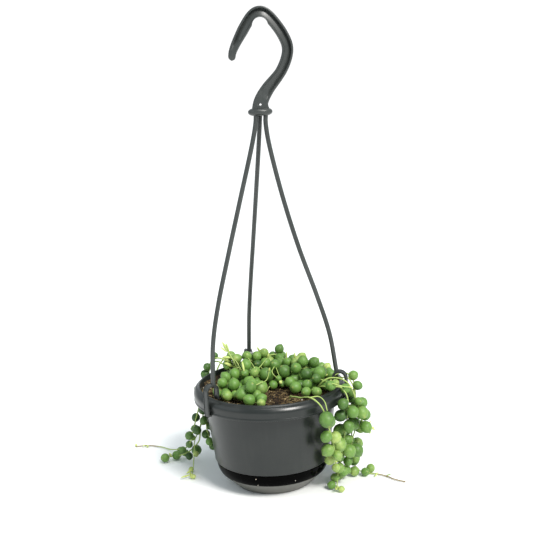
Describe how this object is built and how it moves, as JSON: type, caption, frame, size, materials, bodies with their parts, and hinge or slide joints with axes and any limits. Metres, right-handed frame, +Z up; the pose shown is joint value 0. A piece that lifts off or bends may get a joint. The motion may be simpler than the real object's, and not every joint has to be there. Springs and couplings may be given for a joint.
{
  "type": "string of pearls plant in a hanging pot",
  "caption": "Trailing string of pearls plant in a small round tapered pot with its own saucer and a slim plastic hanger that ends in a hook.",
  "frame": {"origin": "middle of the saucer's flat foot, on the surface it stands on", "axes": "+Z up along the pot's axis, -Y towards the front as pictured, +X to the right"},
  "size_m": [0.2061, 0.1315, 0.3364],
  "materials": {
    "pot": "injection-moulded polypropylene, anthracite, satin",
    "saucer": "injection-moulded polypropylene, black, glossy",
    "hanger": "injection-moulded polypropylene, dark grey, satin",
    "soil": "moist peat and coir potting mix with perlite",
    "leaf": "smooth waxy succulent leaf"
  },
  "bodies": {
    "root": {"pot": "pot", "saucer": "saucer", "soil": "soil", "hanger": "hanger", "strand_back_left_low": "leaf", "strand_back_left_mid": "leaf", "strand_back_mid_low": "leaf", "strand_back_mid_high": "leaf", "strand_back_mid_left": "leaf", "strand_back_right": "leaf", "strand_centre_high": "leaf", "strand_centre_low": "leaf", "strand_centre_left": "leaf", "strand_front_left_low": "leaf", "strand_front_left_high": "leaf", "strand_front_left_rim": "leaf", "strand_front_mid": "leaf", "strand_right_low": "leaf", "strand_right_mid": "leaf", "strand_right_high": "leaf", "strand_right_back": "leaf", "strand_right_edge": "leaf", "strand_trail_front": "leaf", "strand_trail_mid": "leaf", "strand_trail_clip": "leaf", "strand_trail_back": "leaf", "strand_trail_short": "leaf", "strand_left_column": "leaf", "strand_left_long": "leaf", "strand_left_short": "leaf", "strand_left_shoot": "leaf"}
  },
  "joints": []
}
